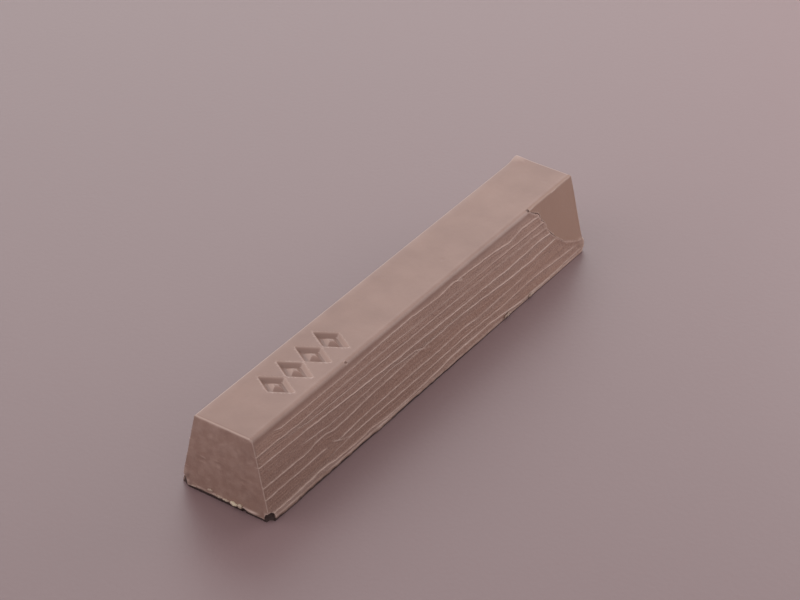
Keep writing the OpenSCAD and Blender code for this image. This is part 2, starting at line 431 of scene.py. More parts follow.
def join(pieces):
    deselect_all()
    for piece in pieces:
        piece.select_set(True)
    bpy.context.view_layer.objects.active = pieces[0]
    bpy.ops.object.join()
    return pieces[0]


def cut_away(piece, cutters, operation="DIFFERENCE"):
    """Cuts with each cutter in turn, and clears up the slivers that a cut leaves"""
    for cutter in cutters:
        modify(piece, "BOOLEAN", operation=operation, solver="EXACT", object=cutter)
        bpy.data.objects.remove(cutter)
        with editing(piece, whole=True):
            bpy.ops.mesh.dissolve_degenerate(threshold=SLIVER)
        with editing(piece, whole=True):
            bpy.ops.mesh.delete_loose()


# The bar: blocking out

def cut_edges_along(bar, axis, cuts):
    mesh = bar.data
    places = vertex_places(mesh)
    ends = edge_ends(mesh)
    run = np.abs(places[ends[:, 1]] - places[ends[:, 0]])
    pick_only(mesh, edges=run.argmax(axis=1) == axis)
    with editing(bar, "EDGE"):
        bpy.ops.mesh.subdivide(number_cuts=cuts)


def line_noise(line, along, ripples):
    places = np.stack([along * LENGTH, np.full_like(along, line * LINE_NOISE_STEP), 0 * along], axis=1)
    return uneven(places, ripples)


def line_place(line, along):
    """Share down the wall of one jump line, with its corners rounded and a slight waver"""
    x, down, _ = zip(*JUMP_LINES[line])
    rounded = np.mean([np.interp(along + shift, x, down) for shift in CORNER_SHIFTS], axis=0)
    return rounded + line_noise(line, along, LINE_WAVER)


def line_strength(line, along):
    x, _, strength = zip(*JUMP_LINES[line])
    return np.interp(along, x, strength, left=0, right=0) * (1 + line_noise(line, along, LINE_RAGGED))


def line_places(along):
    """Share down the wall of every jump line, kept in order and apart"""
    lines = []
    for line in range(len(JUMP_LINES)):
        down = line_place(line, along)
        least = lines[-1] + LEAST_GAP_SHARE if lines else CLEAR_OF_CROWN / WALL_SLANT + LEAST_GAP_SHARE
        lines.append(np.maximum(down, least))
    lines[-1] = np.minimum(lines[-1], 1 - (foot_height(along) + 2 * CLEAR_OF_FOOT) / WALL_SLANT)
    return lines


def row_places(along):
    """Share down the wall of every row of vertices: one on each jump line, and the others close to it"""
    lines = line_places(along)
    steps = np.arange(1, ROWS_PER_LAYER + 1) / ROWS_PER_LAYER
    first = np.arange(ROWS_PER_LAYER) / (ROWS_PER_LAYER - 1)
    rows = [np.zeros_like(along)]
    top = np.full_like(along, CLEAR_OF_CROWN / WALL_SLANT)
    rows += [top + (lines[0] - top) * math.sin(t * math.pi / 2) for t in first]
    for upper, lower in zip(lines, lines[1:]):
        rows += [upper + (lower - upper) * (1 - math.cos(t * math.pi)) / 2 for t in steps]
    lip_end = 1 - (foot_height(along) + CLEAR_OF_FOOT) / WALL_SLANT
    lip_steps = np.arange(1, ROWS_PER_LAYER - 1) / (ROWS_PER_LAYER - 2)
    rows += [lines[-1] + (lip_end - lines[-1]) * t for t in lip_steps]
    rows.append(1 - foot_height(along) / WALL_SLANT)
    rows.append(np.ones_like(along))
    return np.array(rows)


def shares_with_rims(count, rim):
    """Shares from 0 to 1 in even steps, but for the first and last step, which are as wide as the rim"""
    return np.concatenate([[0], np.linspace(rim, 1 - rim, count - 1), [1]])


def blocked_out_bar():
    """A cube cut into rows and columns, which are moved to follow the jump lines, with bevelled edges"""
    size = (LENGTH, BASE_WIDTH, HEIGHT)
    bar = add(bpy.ops.mesh.primitive_cube_add, size=1, location=(0, 0, HEIGHT / 2), scale=size)
    bar.name = bar.data.name = "cast_bar"
    apply_place(bar)
    row_count = ROWS_PER_LAYER * (len(JUMP_LINES) + 1)
    column_count = (COLUMN_CUTS + 1) ** 2
    cross_count = CROSS_CUTS + 1
    cut_edges_along(bar, 0, COLUMN_CUTS)
    cut_edges_along(bar, 0, COLUMN_CUTS)
    cut_edges_along(bar, 2, row_count - 1)
    cut_edges_along(bar, 1, CROSS_CUTS)

    mesh = bar.data
    places = vertex_places(mesh)
    column = np.rint((places[:, 0] / LENGTH + 0.5) * column_count).astype(int)
    cross = np.rint((places[:, 1] / BASE_WIDTH + 0.5) * cross_count).astype(int)
    row = np.rint((1 - places[:, 2] / HEIGHT) * row_count).astype(int)
    columns = shares_with_rims(column_count, CLEAR_OF_END / LENGTH)
    crosses = shares_with_rims(cross_count, CLEAR_OF_WALL / CROWN_WIDTH)
    z = HEIGHT * (1 - row_places(columns)[row, column])
    level = foot_height(columns[column])
    wave = foot_edge(columns[column], 1 - crosses[cross]) - level
    z += wave * (row < row_count) * smooth_step(z - level, WAVE_RISE, 0)
    inset = FOOT_INSET * (row == row_count)
    x = (2 * columns[column] - 1) * (half_length(z) - inset)
    y = (2 * crosses[cross] - 1) * (half_width(z) - inset)
    put_vertices(mesh, np.stack([x, y, z], axis=1))

    on_end = (column == 0) | (column == column_count)
    on_right = cross == 0
    on_left = cross == cross_count
    on_wall = on_right | on_left
    on_crown = row == 0
    on_foot = row == row_count - 1
    ends = edge_ends(mesh)
    weight = np.zeros(len(ends))
    for one, other, bevel in (
        (on_crown, on_right, CROWN_BEVEL),
        (on_crown, on_left, LEFT_CROWN_BEVEL),
        (on_crown, on_end, END_BEVEL),
        (on_wall, on_end, CORNER_BEVEL),
        (on_foot, on_wall, FOOT_BEVEL),
        (on_foot, on_end, FOOT_BEVEL),
    ):
        weight[one[ends].all(axis=1) & other[ends].all(axis=1)] = bevel / CROWN_BEVEL
    mesh.attributes.new("bevel_weight_edge", "FLOAT", "EDGE").data.foreach_set("value", weight)
    modify(
        bar, "BEVEL", limit_method="WEIGHT", width=CROWN_BEVEL, segments=BEVEL_STEPS,
        use_clamp_overlap=False,
    )
    return bar


# The bar: relief of the pour

def shares_of(places):
    """Place along the bar from the near end and down from the crown, as shares"""
    along = (places[:, 0] / half_length(places[:, 2]) + 1) / 2
    return along, 1 - places[:, 2] / HEIGHT


def distance_to_path(along, down, path):
    """Distance from places on a wall to a path, both in shares, and the signed distance below it"""
    spot = np.stack([along * LENGTH, down * WALL_SLANT], axis=1)
    points = np.array(path) * (LENGTH, WALL_SLANT)
    nearest = np.full(len(spot), np.inf)
    below = np.zeros(len(spot))
    for start, end in zip(points, points[1:]):
        run = end - start
        t = np.clip((spot - start) @ run / (run @ run), 0, 1)
        gap = spot - start - t[:, None] * run
        distance = np.hypot(gap[:, 0], gap[:, 1])
        side = (run[0] * gap[:, 1] - run[1] * gap[:, 0]) / np.hypot(*run)
        closer = distance < nearest
        nearest[closer] = distance[closer]
        below[closer] = side[closer]
    return nearest, below


def wall_relief(along, down, side):
    """Rise of a long wall over its plane, and how pale its crests are"""
    reach = LEFT_LINE_REACH if side > 0 else 1
    rise = np.zeros_like(along)
    pale = np.zeros_like(along)
    for line, place in enumerate(line_places(along)):
        strength = line_strength(line, np.minimum(along, reach))
        below = (down - place) * WALL_SLANT
        crest = np.exp(-(np.abs(below) / LINE_SPREAD) ** CREST_STEEPNESS)
        lap = (below > 0) * np.exp(-np.maximum(below, 0) / LAP_FADE)
        rise += strength * (LINE_RISE * crest + LAP_RISE * lap)
        bright = (1 - HALO_SHARE) * bell(below, 0, PALE_SPREAD) + HALO_SHARE * bell(below, 0, HALO_SPREAD)
        pale = np.maximum(pale, strength * bright)
    return rise, pale


def lip_relief(along, down):
    """Rise of the lip along the foot, with its ragged edge"""
    below = (down - line_places(along)[LIP_LINE]) * WALL_SLANT
    places = np.stack([along * LENGTH, np.zeros_like(along), down * HEIGHT], axis=1)
    ledge = LIP_LEDGE * smooth_step(below, *LEDGE_RUN)
    flare = LIP_PROUD - LIP_LEDGE + LIP_FLARE * smooth_step(along, *FLARE_RUN)
    fade = 1 - (1 - LIP_REMAINS) * smooth_step(along, *LIP_FADE)
    rise = ledge + flare * smooth_step(below, 0, FLARE_HEIGHT)
    return rise * fade * (1 + uneven(places, LIP_RAGGED))


def fold_relief(along, down):
    """Rise of the folds, each with its trench, and how pale they are"""
    rise = np.zeros_like(along)
    pale = np.zeros_like(along)
    for path in FOLDS:
        distance, below = distance_to_path(along, down, path)
        crest = bell(distance, 0, FOLD_SPREAD)
        trench = bell(distance / FOLD_SPREAD, TRENCH_PLACE, 1) * (below < 0)
        rise += FOLD_RISE * (crest - trench)
        pale = np.maximum(pale, crest)
    return rise, pale


def rim_relief(along, down):
    """Rise of the right wall along the patch's border"""
    distance, below = distance_to_path(along, down, PATCH_BORDER)
    return RIM_RISE * (below > 0) * bell(distance, 0, RIM_SPREAD)


def flash_relief(places):
    """How far the ragged flash stands out of the near end's foot, as a share"""
    share = 0.5 - places[:, 1] / BASE_WIDTH
    ragged = np.clip(FLASH_USUAL + uneven(places[:, 1:2] * (1, 0, 0), FLASH_RAGGED), 0, FLASH_MOST)
    ragged *= smooth_step(share, FLASH_START, FLASH_START + FLASH_RAMP)
    ragged *= smooth_step(share, FLASH_END, FLASH_END - FLASH_RAMP)
    return ragged * bell(places[:, 2], FLASH_HEIGHT, FLASH_SPREAD)


def dent(distance, radius):
    """Depth of a round dent with a low rim, as a share of its full depth"""
    rim = DENT_RIM_HEIGHT * bell(distance / radius, 1, DENT_RIM_SPREAD)
    return bell(distance, 0, DENT_HOLLOW * radius) - rim


def crown_dents(places):
    depth = np.zeros(len(places))
    for along, across, radius in DENTS:
        x, y = (along - 0.5) * LENGTH, (0.5 - across) * CROWN_WIDTH
        depth += DENT_DEPTH * dent(np.hypot(places[:, 0] - x, places[:, 1] - y), radius)
    return depth


def end_dents(places):
    depth = np.zeros(len(places))
    for across, down, radius in END_DENTS:
        z = (1 - down) * HEIGHT
        y = (1 - 2 * across) * half_width(z)
        depth += END_DENT_DEPTH * dent(np.hypot(places[:, 1] - y, places[:, 2] - z), radius)
    return depth


def burr_share(places, middle, radius):
    """How much of a burr's rise each place takes"""
    centre = np.array(middle) * (LENGTH, CROWN_WIDTH if middle.z > 0.5 else BASE_WIDTH, HEIGHT)
    gap = np.linalg.norm(places - centre, axis=1)
    return bell(gap, 0, radius) * (1 + uneven(places, BURR_RAGGED))


def layer_of(down, lines):
    """Which layer of the pour a place lies in: the jump lines above it, and the share to the next line"""
    edges = [0 * down] + lines + [0 * down + 1]
    return sum(np.clip((down - upper) / (lower - upper), 0, 1) for upper, lower in zip(edges, edges[1:]))


def out_of_wall(side):
    return np.array([0, side * math.cos(WALL_LEAN), math.sin(WALL_LEAN)])


def depth_in_wall(places, side):
    """How far inside a long wall's plane each place lies"""
    return (half_width(places[:, 2]) - side * places[:, 1]) * math.cos(WALL_LEAN)


def depth_in_walls(places):
    """How far inside the nearer long wall's plane each place lies"""
    return np.minimum(depth_in_wall(places, -1), depth_in_wall(places, 1))


def depth_in_sides(places):
    """How far inside the nearest of the four sides' planes each place lies"""
    return np.minimum(depth_in_walls(places), half_length(places[:, 2]) - np.abs(places[:, 0]))


def raise_walls(places, moved):
    along, down = shares_of(places)
    for side in (-1, 1):
        near_wall = np.interp(depth_in_wall(places, side), RELIEF_DEPTHS, (1, 0))
        chosen = (near_wall > 0) & (down > CLEAR_OF_CROWN / WALL_SLANT / 2)
        a, d = along[chosen], down[chosen]
        rise = wall_relief(a, d, side)[0] + lip_relief(a, d)
        if side < 0:
            rise += fold_relief(a, d)[0] + rim_relief(a, d)
        rise += uneven(places[chosen], WALL_UNEVEN)
        moved[chosen] += (near_wall[chosen] * rise)[:, None] * out_of_wall(side)


def raise_ends(places, moved):
    down = shares_of(places)[1]
    clear_of_edges = (down > END_RELIEF_TOP) & (down < END_RELIEF_FOOT)
    clear_of_edges &= depth_in_walls(places) > CLEAR_OF_WALL / 2
    for side in (-1, 1):
        chosen = clear_of_edges & (half_length(places[:, 2]) - side * places[:, 0] < ON_FACE)
        rise = uneven(places[chosen], END_UNEVEN)
        if side < 0:
            rise += FLASH_PROUD * flash_relief(places[chosen]) - end_dents(places[chosen])
        moved[chosen, 0] += side * rise


def sink_flats(places, moved):
    """Lets the crown and the base sink in the middle, as cast wax does"""
    top = places[:, 2] > HEIGHT / 2
    flat = (places[:, 2] > HEIGHT - IN_FLAT) | (places[:, 2] < IN_FLAT)
    from_rim = depth_in_sides(places) - np.where(top, 0, FOOT_INSET)
    chosen = flat & (from_rim > CLEAR_OF_END)
    sink = CROWN_SINK + uneven(places[chosen], FLAT_UNEVEN)
    sink *= smooth_step(from_rim[chosen], CLEAR_OF_END, SINK_RUN)
    sink += top[chosen] * crown_dents(places[chosen])
    moved[chosen, 2] -= np.where(top[chosen], 1, -BASE_SINK) * sink


def raise_burrs(places, moved):
    for middle, radius, rise in BURRS:
        moved += burr_share(places, middle, radius)[:, None] * np.array(rise)


def raise_relief(bar):
    places = vertex_places(bar.data)
    moved = places.copy()
    for shape in (raise_walls, raise_ends, sink_flats, raise_burrs):
        shape(places, moved)
    put_vertices(bar.data, moved)


# The bar: cutters

def lump(place, reach, roughness, fineness=BREAK_FINENESS):
    """A rough ball to cut chips with, or to be a crumb"""
    ball = add(bpy.ops.mesh.primitive_ico_sphere_add, subdivisions=LUMP_CUTS, radius=1, location=place)
    ball.scale = reach
    apply_place(ball)
    size = sum(reach) / 3
    clouds = bpy.data.textures.new("lump", "CLOUDS")
    clouds.noise_scale = fineness * size
    clouds.noise_depth = LUMP_LAYERS
    modify(ball, "DISPLACE", texture=clouds, texture_coords="LOCAL", strength=roughness * size)
    return ball


def chip_ball(x_side, y_side, height, reach, flatness):
    """Middle and radii of the ball that takes the chip's reach from each edge of a base corner"""
    away = (math.sqrt(3 * flatness ** 2 - 2) - 1) / 3
    corner = Vector((x_side * LENGTH / 2, y_side * (BASE_WIDTH / 2 + LIP_PROUD), height))
    middle = corner + away * Vector((x_side * reach.x, y_side * reach.y, -reach.z))
    return middle, flatness * reach


def notch_ball():
    across, height, radius = FOOT_NOTCH
    return Vector((-LENGTH / 2, (0.5 - across) * BASE_WIDTH, height)), Vector((radius, radius, radius))


def break_balls():
    """Middle and radii of every ball that breaks the foot: the notch and then the chips"""
    return [notch_ball()] + [chip_ball(*chip) for chip in CHIPS]


def nick_cutter(along, radius):
    place = Vector(((along - 0.5) * LENGTH, -CROWN_WIDTH / 2, HEIGHT))
    return lump(place, Vector((radius, radius, radius)), NICK_ROUGHNESS)


def lozenge_cutter(x):
    """The tool for one lozenge: a four-sided bar whose end is drawn in, ring by ring"""
    start_share, start_height = MARK_RINGS[0]
    tool = add(bpy.ops.mesh.primitive_cylinder_add, vertices=4, radius=0.5, depth=1)
    tool.scale = (MARK_WIDTH * start_share, MARK_HEIGHT * start_share, HEIGHT / 2)
    tool.location = (x, 0, HEIGHT + start_height + HEIGHT / 4)
    apply_place(tool)
    mesh = tool.data
    places = vertex_places(mesh)
    ends = edge_ends(mesh)
    pick_only(mesh, edges=np.abs(places[ends[:, 0], 2] - places[ends[:, 1], 2]) > HEIGHT / 4)
    with editing(tool, "EDGE"):
        bpy.ops.mesh.bevel(offset=MARK_CORNER, segments=MARK_CORNER_STEPS, affect="EDGES")
    pick_only(mesh, faces=np.array([face.normal.z < -0.9 for face in mesh.polygons]))
    with editing(tool):
        for (share, height), (next_share, next_height) in zip(MARK_RINGS, MARK_RINGS[1:]):
            step = (0, 0, next_height - height)
            bpy.ops.mesh.extrude_region_move(TRANSFORM_OT_translate={"value": step})
            scale = next_share / share
            middle = (x, 0, HEIGHT + next_height)
            bpy.ops.transform.resize(value=(scale, scale, 1), center_override=middle)
    return tool


def mark_place(number):
    return MARK_FROM_END - LENGTH / 2 + (number - (MARK_COUNT - 1) / 2) * MARK_PITCH


def mark_share(places):
    """Distance from the nearest lozenge's middle, as a share of the way to its rim"""
    x_gaps = [np.abs(places[:, 0] - mark_place(number)) for number in range(MARK_COUNT)]
    return np.min(x_gaps, axis=0) / (MARK_WIDTH / 2) + np.abs(places[:, 1]) / (MARK_HEIGHT / 2)


def on_right_wall():
    """Puts a shape on the right wall: its X along the bar, its Y up the slope, its Z out of the wall"""
    lean = Matrix.Rotation(math.pi / 2 - WALL_LEAN, 4, "X")
    return Matrix.Translation((0, -BASE_WIDTH / 2, 0)) @ lean


def border_curve(points, closed):
    """A curve through these points of the right wall, given along the bar and up the slope"""
    curve = add(bpy.ops.curve.primitive_bezier_curve_add)
    curve.data.resolution_u = CURVE_STEPS
    spline = curve.data.splines[0]
    spline.bezier_points.add(len(points) - 2)
    spline.use_cyclic_u = closed
    for point, (x, y) in zip(spline.bezier_points, points):
        point.co = (x, y, 0)
        point.handle_left_type = point.handle_right_type = "AUTO"
    return curve


def curve_to_mesh(curve):
    make_active(curve)
    bpy.ops.object.convert(target="MESH")
    piece = bpy.context.object
    with editing(piece, whole=True):
        bpy.ops.mesh.remove_doubles(threshold=SAME_PLACE)
    return piece


def patch_border():
    return [((along - 0.5) * LENGTH, (1 - down) * WALL_SLANT) for along, down in PATCH_BORDER]


def patch_cutter():
    """A slab with an uneven underside, trimmed to the patch's border"""
    border = patch_border()
    outer, top = LENGTH * PATCH_REACH, WALL_SLANT * PATCH_TOP
    outline = border + [(outer, top)]
    curve = border_curve(outline, True)
    curve.data.dimensions = "2D"
    curve.data.fill_mode = "BOTH"
    for number in (0, len(border) - 1, len(border)):
        point = curve.data.splines[0].bezier_points[number]
        point.handle_left_type = point.handle_right_type = "VECTOR"
    trim = curve_to_mesh(curve)
    with editing(trim, whole=True):
        bpy.ops.mesh.extrude_region_move(TRANSFORM_OT_translate={"value": (0, 0, PATCH_TRIM_THICKNESS)})
    with editing(trim, whole=True):
        bpy.ops.transform.translate(value=(0, 0, -PATCH_TRIM_THICKNESS / 2))
        bpy.ops.mesh.normals_make_consistent(inside=False)

    low = Vector((min(x for x, _ in outline) - MM, min(y for _, y in outline) - MM))
    high = Vector((outer + MM, top + MM))
    x_steps, y_steps = PATCH_GRID
    slab = add(bpy.ops.mesh.primitive_grid_add, x_subdivisions=x_steps, y_subdivisions=y_steps, size=1)
    slab.scale = (high.x - low.x, high.y - low.y, 1)
    slab.location = ((low.x + high.x) / 2, (low.y + high.y) / 2, 0)
    apply_place(slab)
    places = vertex_places(slab.data)
    places[:, 2] = uneven(places, PATCH_UNEVEN) - PATCH_DEPTH
    put_vertices(slab.data, places)
    modify(slab, "SOLIDIFY", thickness=PATCH_CUTTER_THICKNESS, offset=1)
    cut_away(slab, [trim], "INTERSECT")
    slab.data.transform(on_right_wall())
    return slab


def crevice_cutter():
    """A tube along the upper part of the patch's border, thinner towards both ends"""
    curve = border_curve(patch_border()[:len(CREVICE_SHARES)], False)
    curve.data.dimensions = "3D"
    curve.data.bevel_depth = CREVICE_RADIUS
    curve.data.bevel_resolution = CREVICE_STEPS
    curve.data.use_fill_caps = True
    for point, share in zip(curve.data.splines[0].bezier_points, CREVICE_SHARES):
        point.radius = share
    tube = curve_to_mesh(curve)
    with editing(tube, whole=True):
        bpy.ops.transform.translate(value=(0, 0, -CREVICE_DEPTH))
        bpy.ops.mesh.normals_make_consistent(inside=False)
    tube.data.transform(on_right_wall())
    return tube


def cast_bar():
    bar = blocked_out_bar()
    raise_relief(bar)
    first_nick, last_nick = (nick_cutter(*nick) for nick in NICKS)
    patch = patch_cutter()
    cut_away(patch, [crevice_cutter(), last_nick], "UNION")
    breaks = [first_nick] + [lump(*ball, CHIP_ROUGHNESS) for ball in break_balls()]
    lozenges = [lozenge_cutter(mark_place(number)) for number in range(MARK_COUNT)]
    cut_away(bar, [join(lozenges), join([patch] + breaks)])
    make_active(bar)
    bpy.ops.object.shade_smooth_by_angle(angle=BAR_SMOOTH_ANGLE)
    return bar


# Crumbs

def crumb(place, reach, creaminess):
    """A rough flake of wax that clings to the foot"""
    flake = lump(place, reach, CRUMB_ROUGHNESS, CRUMB_FINENESS)
    put_attribute(flake.data, "cream", np.full(len(flake.data.vertices), creaminess))
    make_active(flake)
    bpy.ops.object.shade_smooth_by_angle(angle=CRUMB_SMOOTH_ANGLE)
    return flake


def near_end_place(share, height, reach):
    return Vector((-LENGTH / 2 - CRUMB_PROUD * reach.x, BASE_WIDTH * (0.5 - share), height))


def long_wall_place(share, height, reach):
    return Vector(((share - 0.5) * LENGTH, -BASE_WIDTH / 2 - LIP_PROUD, height))


# What the finish reads from the bar's shape

# How much painted shade, paleness or painted highlight each feature takes, from 0 to 1
BREAK_SHADE = 0.92
FAINT_SHADE = 0.45
EDGE_PALE = 0.95
RIM_PALE = 0.6
BORDER_RIM_PALE = 0.2
FOLD_PALE = 0.7
BORDER_PALE = 0.15
BURR_PALE = 0.35
PATCH_EDGE_SHADE = 0.8
# Painted highlight on the rims of the crown. The left one changes along the bar: shares of the length,
# and its paleness there
RIGHT_RIM_PALE = 0.12
END_RIM_PALE = 0.75
LEFT_RIM_ALONG = (0.15, 0.45)
LEFT_RIM_PALE = (0.75, 0.5)
# Painted highlight over the foot's edge: height over it, spread and paleness, on a long wall and on an
# end
WALL_FOOT_LINE = (0.24 * MM, 0.13 * MM, 0.5)
END_FOOT_LINE = (0.05 * MM, 0.06 * MM, 0.6)
# An edge stands out sharply from this angle on
RIM_ANGLE = math.radians(30)
# How near a side counts as on it, and how deep the patch may lie in the right wall
ON_SIDE = 0.15 * MM
PATCH_LEAST = 0.06 * MM
PATCH_MOST = 0.5 * MM
# A break starts this far inside the bar
BREAK_START = 0.01 * MM


def sharp_rims(mesh):
    """1 at each vertex on an edge that stands out sharply"""
    rims = np.zeros(len(mesh.vertices))
    shape = bmesh.new()
    shape.from_mesh(mesh)
    for edge in shape.edges:
        if edge.calc_face_angle_signed(0) > RIM_ANGLE:
            for vertex in edge.verts:
                rims[vertex.index] = 1
    shape.free()
    return rims


class Survey:
    """Where each vertex of the bar lies, and which way it faces"""

    def __init__(self, mesh):
        self.mesh = mesh
        self.places = vertex_places(mesh)
        self.z = self.places[:, 2]
        self.out_x, self.out_y, self.out_z = read(mesh.vertices, "normal", 3).T
        self.along, self.down = shares_of(self.places)
        self.lines = line_places(self.along)
        self.in_right_wall = depth_in_wall(self.places, -1)
        self.in_walls = depth_in_walls(self.places)
        self.in_sides = depth_in_sides(self.places)
        self.on_end = np.abs(self.places[:, 0]) > half_length(self.z) - ON_SIDE
        self.from_border, self.below_border = distance_to_path(self.along, self.down, PATCH_BORDER)
        self.over_foot = self.z - foot_height(self.along)
        across = (1 - self.places[:, 1] / half_width(self.z)) / 2
        self.over_edge = self.z - foot_edge(self.along, across)
        reaches = [np.linalg.norm((self.places - np.array(middle)) / np.array(radii), axis=1)
                   for middle, radii in break_balls()]
        self.break_reach = np.min(reaches, axis=0)
        # 1 where the surface has turned halfway from a long wall to an end
        self.turn = 2 * np.abs(self.out_x) * np.sqrt(np.clip(1 - self.out_x ** 2, 0, 1))
        # Upright edges, picked by the way they face: the near left one, and the far right one beside the
        # patch, take painted shade, the others a painted highlight
        upright = (self.out_z < 0.3) & (self.down > 0.03)
        self.shade_edge = upright & (self.out_x < 0) & (self.out_y > 0)
        self.patch_shade_edge = upright & (self.out_x > 0.2) & (self.out_y < 0) & (self.below_border < 0)
        self.highlight_edge = upright & ~self.shade_edge & ~self.patch_shade_edge & (self.over_foot > 0)


def painted_shade_share(at):
    """Painted shade in the chips, the crevice, under the foot and on the near left edge, where shade
    falls
    """
    painted_shade = BREAK_SHADE * (at.break_reach < 1.4) * smooth_step(at.in_sides, BREAK_START, 0.05 * MM)
    upper = at.down < PATCH_BORDER[len(CREVICE_SHARES) - 1][1]
    deep = (at.in_right_wall > PATCH_DEPTH + 0.02 * MM) & (at.in_right_wall < PATCH_MOST)
    painted_shade[upper & deep & (at.from_border < 1.3 * CREVICE_RADIUS)] = FAINT_SHADE
    low = (at.in_sides < FOOT_INSET + ON_FACE) & (at.z < 1 * MM)
    under_foot = low * smooth_step(-at.over_edge, 0, 0.04 * MM)
    edge = FAINT_SHADE * at.shade_edge * smooth_step(at.turn, 0.5, 0.95)
    return np.max([painted_shade, under_foot, edge], axis=0)


def crest_share(at):
    """The pale crests of jump lines, folds and the patch's border"""
    pale = np.zeros(len(at.places))
    for side in (-1, 1):
        on_wall = (depth_in_wall(at.places, side) < 0.04 * MM) & (at.down > 0.04)
        along, down = at.along[on_wall], at.down[on_wall]
        crests = [wall_relief(along, down, side)[1]]
        if side < 0:
            crests.append(FOLD_PALE * fold_relief(along, down)[1])
            crests.append(BORDER_PALE * rim_relief(along, down) / RIM_RISE)
        pale[on_wall] = np.max(crests, axis=0)
    return pale


# Painted highlight on the crown's rounded rims, by how far the surface has turned
def crown_rim_highlight(at):
    rim = smooth_step(1 - at.out_z, 0.004, 0.05) * smooth_step(at.out_z, 0.45, 0.7) * (at.down < 0.05)
    left_pale = np.interp(at.along, LEFT_RIM_ALONG, LEFT_RIM_PALE)
    return rim * np.select([at.out_y < -0.1, at.out_y > 0.1], [RIGHT_RIM_PALE, left_pale], END_RIM_PALE)


# Painted highlight along the foot's edge
def foot_line_highlight(at):
    height, width, pale = (np.where(at.on_end, *both) for both in zip(END_FOOT_LINE, WALL_FOOT_LINE))
    return pale * bell(at.over_edge, height, width) * (1 + uneven(at.places, FOOT_LINE_RAGGED))


def pale_and_highlight_share(at, painted_shade):
    """All that is paler than the wax round it: crests, rims, burrs and flash, and painted highlights on
    upright edges, the lozenges' rims, the crown's rims and over the foot's edge
    """
    rims = sharp_rims(at.mesh) * np.where(at.from_border < 0.3 * MM, BORDER_RIM_PALE, RIM_PALE)
    break_rims = RIM_PALE * (at.in_sides < BREAK_START) * smooth_step(at.break_reach, 1.35, 1.1)
    # Painted highlight on the rims of the lozenges
    mark_rim_highlights = RIM_PALE * bell(mark_share(at.places), 1.02, 0.045) * (at.down < 0.02)
    # Painted highlight on the upright edges
    edges = EDGE_PALE * at.highlight_edge * smooth_step(at.turn, 0.4, 0.9)
    near_foot = (at.places[:, 0] < -half_length(at.z)) & (at.z < 2 * FLASH_HEIGHT)
    burrs = [BURR_PALE * smooth_step(burr_share(at.places, *burr[:2]), 0.15, 0.7) for burr in BURRS]
    if_whole = np.max([rims, break_rims, foot_line_highlight(at)], axis=0) * (1 - painted_shade)
    flash = near_foot * flash_relief(at.places)
    shares = [if_whole, mark_rim_highlights, edges, flash, crest_share(at), crown_rim_highlight(at)]
    return np.max(shares + burrs, axis=0)


def hollow_shade_share(at):
    """Painted shade in the pits of the lozenges, on the upright edge beside the patch, and on the band of
    the lip
    """
    pit = (mark_share(at.places) < 0.95) & (at.in_walls > CLEAR_OF_WALL) & (at.z > HEIGHT - 2 * MM)
    pits = pit * smooth_step(HEIGHT - at.z, 0.2 * MM, 0.55 * MM)
    edge = PATCH_EDGE_SHADE * at.patch_shade_edge * smooth_step(at.turn, 0.4, 0.9)
    lip = (at.in_walls < ON_SIDE) & (at.z < 2 * MM)
    below = (at.down - at.lines[LIP_LINE]) * WALL_SLANT
    band = smooth_step(below, 0.08 * MM, 0.25 * MM) * smooth_step(at.over_foot, 0.3 * MM, 0.45 * MM)
    return np.max([pits, edge, lip * band * smooth_step(at.along, *FLARE_RUN)], axis=0)


def mark_surfaces(bar):
    at = Survey(bar.data)
    painted_shade = painted_shade_share(at)
    in_patch = (at.below_border < 0) & (at.along > PATCH_BORDER[0][0])
    patch = in_patch & (at.in_right_wall > PATCH_LEAST) & (at.in_right_wall < PATCH_MOST)
    on_long_wall = (at.in_walls < ON_SIDE) & ~at.on_end & ~patch
    shares = {
        "painted_shade": painted_shade,
        "pale": pale_and_highlight_share(at, painted_shade),
        "hollow_shade": hollow_shade_share(at),
        "patch": patch,
        "grainy": on_long_wall * smooth_step(at.down, 0.06, 0.11),
        "end": at.on_end,
    }
    for name, share in shares.items():
        put_attribute(bar.data, name, np.clip(share, 0, 1))
    put_attribute(bar.data, "layer", layer_of(at.down, at.lines))


# Finishes

class Value:
    """One socket of a finish. Sums and products of sockets and numbers add Math nodes."""

    def __init__(self, finish, socket):
        self.finish = finish
        self.socket = socket

    def __add__(self, other):
        return self.finish.math("ADD", self, other)

    def __mul__(self, other):
        return self.finish.math("MULTIPLY", self, other)

    __radd__ = __add__
    __rmul__ = __mul__


